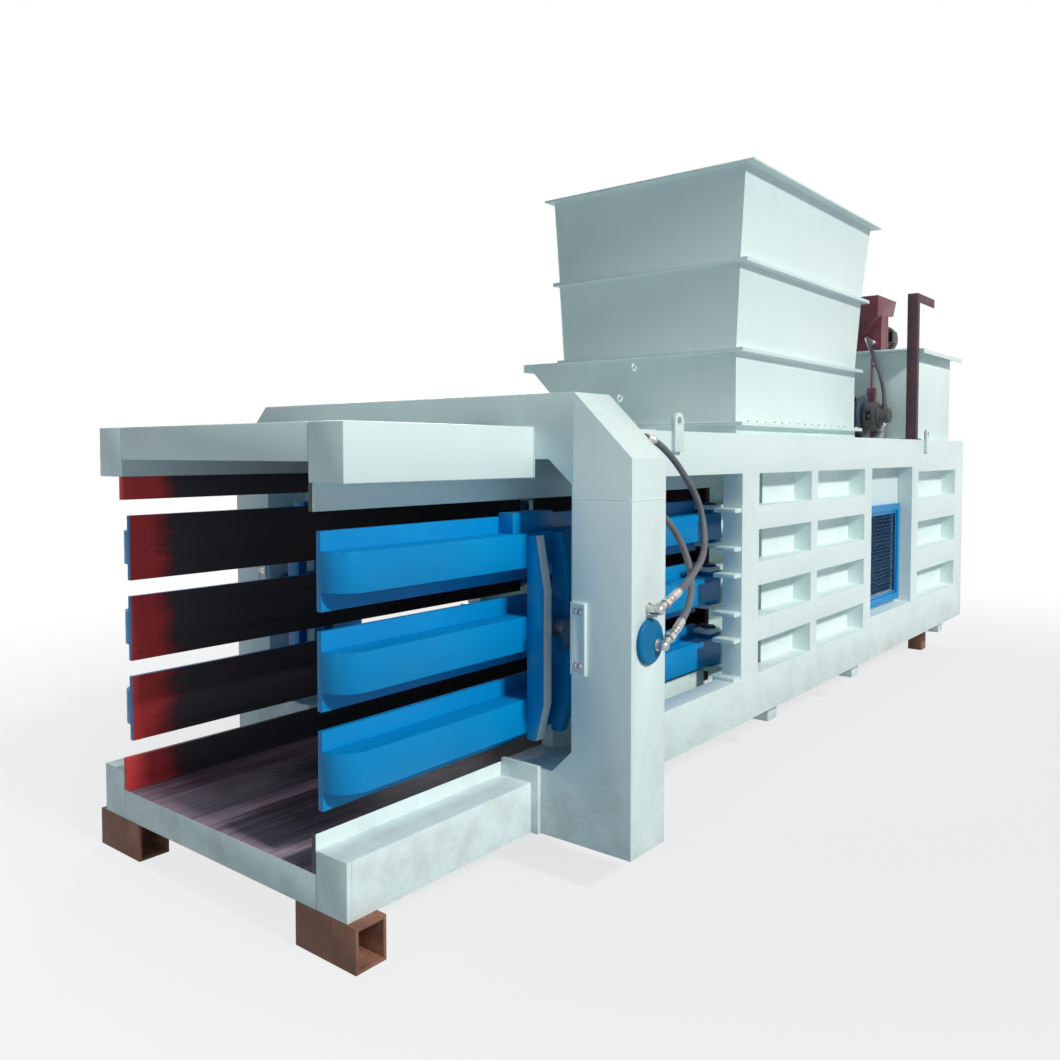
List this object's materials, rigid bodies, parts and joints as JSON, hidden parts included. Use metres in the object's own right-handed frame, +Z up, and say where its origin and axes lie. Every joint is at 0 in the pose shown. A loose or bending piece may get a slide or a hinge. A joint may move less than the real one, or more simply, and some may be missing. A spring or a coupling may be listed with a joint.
{
  "type": "recycling baler",
  "caption": "Horizontal recycling baler with a feed hopper, hydraulic ram, slotted press channel, side squeeze doors in a portal frame and a power unit on top.",
  "frame": {"origin": "on the ground, at the centre of the machine's outline", "axes": "+Z up, +X along the machine from the bale outlet to the main cylinder, -Y the side with the mesh hatch and the hoses"},
  "size_m": [6.93, 2.3822, 3.035],
  "materials": {
    "white": "semi-gloss mint-white machine enamel",
    "dark_steel": "bare plate, nearly black",
    "blue": "glossy blue enamel",
    "navy": "dark blue wire mesh",
    "ram_paint": "red-oxide primer, rubbed",
    "bright_steel": "machined steel",
    "cylinder_paint": "dark enamel",
    "rust_brown": "brown primer with rust",
    "maroon": "glossy maroon enamel",
    "motor_blue": "blue-grey motor enamel",
    "black": "black enamel",
    "hose_rubber": "satin black hydraulic hose"
  },
  "bodies": {
    "frame": {"bell_housing": "dark_steel", "chute_front_beam": "white", "chute_side_beam_far": "white", "chute_side_beam_near": "white", "chute_top_beam_far": "white", "chute_top_beam_near": "white", "cylinder_cap_far": "blue", "cylinder_cap_near": "blue", "door_hinge_pins": "bright_steel", "drive_motor": "motor_blue", "fan_motor": "black", "fixed_knife": "bright_steel", "floor_deck": "white", "frame_bolts": "bright_steel", "gallows_post": "rust_brown", "hinge_plates": "white", "hopper_curb": "white", "hopper_lower": "white", "hopper_middle": "white", "hopper_upper": "white", "hose_lower": "hose_rubber", "hose_manifold": "dark_steel", "hose_upper": "hose_rubber", "keeper_plates": "white", "lifting_lugs": "white", "main_cylinder": "cylinder_paint", "mesh_door_hinges": "navy", "oil_cooler": "maroon", "oil_tank": "white", "port_fittings": "bright_steel", "portal_frame": "white", "power_hose": "hose_rubber", "pump": "dark_steel", "rear_crosshead": "white", "return_line": "maroon", "roof_front": "white", "roof_rear": "white", "side_cylinder_far": "cylinder_paint", "side_cylinder_near": "cylinder_paint", "side_wall_far": "white", "side_wall_near": "white", "support_feet": "rust_brown", "tank_lid": "white", "valve_block": "bright_steel", "wall_liner_far": "dark_steel", "wall_liner_near": "dark_steel"},
    "near_door": {"squeeze_door_near": "blue", "pressure_pad_near": "blue"},
    "far_door": {"squeeze_door_far": "blue", "pressure_pad_far": "blue"},
    "near_rod": {"side_rod_near": "bright_steel"},
    "far_rod": {"side_rod_far": "bright_steel"},
    "ram": {"ram_face": "ram_paint", "ram_body": "ram_paint", "ram_apron": "dark_steel", "main_rod": "bright_steel"},
    "mesh_hatch": {"mesh_door": "blue", "mesh_panel": "navy"},
    "fan": {"cooler_fan": "black"},
    "drive_shaft": {"drive_coupling": "bright_steel"}
  },
  "joints": [
    {"name": "near_door_swing", "type": "hinge", "parent": "frame", "child": "near_door", "pos_m": [-1.065, -0.61, 0.877], "axis": [0, 0, -1], "range_deg": [0, 5]},
    {"name": "far_door_swing", "type": "hinge", "parent": "frame", "child": "far_door", "pos_m": [-1.065, 0.61, 0.877], "axis": [0, 0, 1], "range_deg": [0, 5]},
    {"name": "near_rod_stroke", "type": "slide", "parent": "frame", "child": "near_rod", "axis": [0, 1, 0], "range_m": [0, 0.1205]},
    {"name": "far_rod_stroke", "type": "slide", "parent": "frame", "child": "far_rod", "axis": [0, -1, 0], "range_m": [0, 0.1205]},
    {"name": "ram_stroke", "type": "slide", "parent": "frame", "child": "ram", "axis": [-1, 0, 0], "range_m": [0, 1.79]},
    {"name": "mesh_hatch_swing", "type": "hinge", "parent": "frame", "child": "mesh_hatch", "pos_m": [0.559, -0.7883, 0.833], "axis": [0, 0, -1], "range_deg": [0, 90]},
    {"name": "fan_spin", "type": "hinge", "parent": "frame", "child": "fan", "pos_m": [2.095, -0.29, 2.427], "axis": [1, 0, 0], "continuous": true},
    {"name": "drive_shaft_spin", "type": "hinge", "parent": "frame", "child": "drive_shaft", "pos_m": [1.305, -0.56, 1.78], "axis": [0, 1, 0], "continuous": true}
  ],
  "couplings": [
    {"joint": "near_rod_stroke", "follows": "near_door_swing", "m_per_rad": 1.38},
    {"joint": "far_rod_stroke", "follows": "far_door_swing", "m_per_rad": 1.38}
  ]
}
